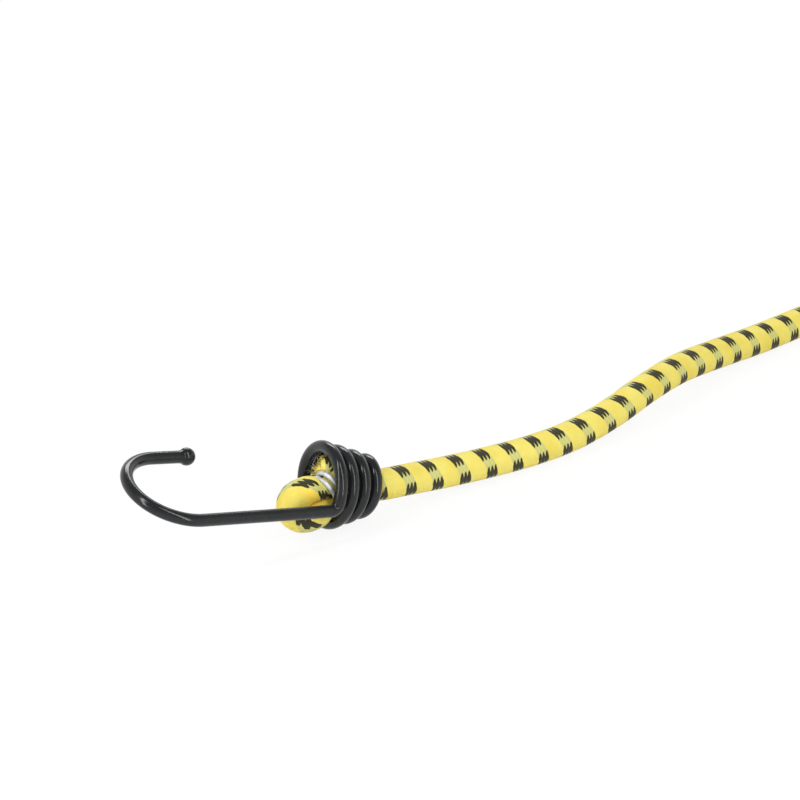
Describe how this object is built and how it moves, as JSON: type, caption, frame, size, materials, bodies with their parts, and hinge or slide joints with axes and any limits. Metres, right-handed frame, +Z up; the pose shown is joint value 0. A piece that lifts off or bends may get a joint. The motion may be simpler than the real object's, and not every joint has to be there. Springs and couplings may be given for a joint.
{
  "type": "bungee cord",
  "caption": "Elastic cord of rubber threads in a braided sheath, with a plastic coated wire hook coiled onto the clamped fold at each end.",
  "frame": {"origin": "on the surface the cord lies on, under the middle of the box round its two hooked ends", "axes": "+Z up from the surface, +X from hook A's side towards hook B's side, +Y away from the viewer of hook A"},
  "size_m": [0.292, 0.2064, 0.0261],
  "materials": {
    "coated_wire": "glossy black plastic coating over steel wire",
    "galvanised_wire": "galvanised, slightly dull",
    "sheath": "tight braid, yellow with bands of black tick marks",
    "core": "natural rubber threads"
  },
  "bodies": {
    "cord": {"clamp_a": "galvanised_wire", "sheath_end_a": "sheath", "core_end_a": "core", "clamp_b": "galvanised_wire", "sheath_end_b": "sheath", "core_end_b": "core", "sheath_run": "sheath", "core_run": "core", "sheath_coil": "sheath", "core_coil": "core", "sheath_lead": "sheath", "core_lead": "core"},
    "hook_a": {"hook_a": "coated_wire"},
    "hook_b": {"hook_b": "coated_wire"}
  },
  "joints": [
    {"name": "hook_a_swivel", "type": "hinge", "parent": "cord", "child": "hook_a", "pos_m": [-0.09858, -0.00711, 0.01132], "axis": [-0.8172, -0.5368, 0.2096], "range_deg": [-5, 60]},
    {"name": "hook_b_swivel", "type": "hinge", "parent": "cord", "child": "hook_b", "pos_m": [0.13229, 0.02607, 0.01132], "axis": [0, -0.9778, 0.2096], "range_deg": [-5, 60]}
  ]
}
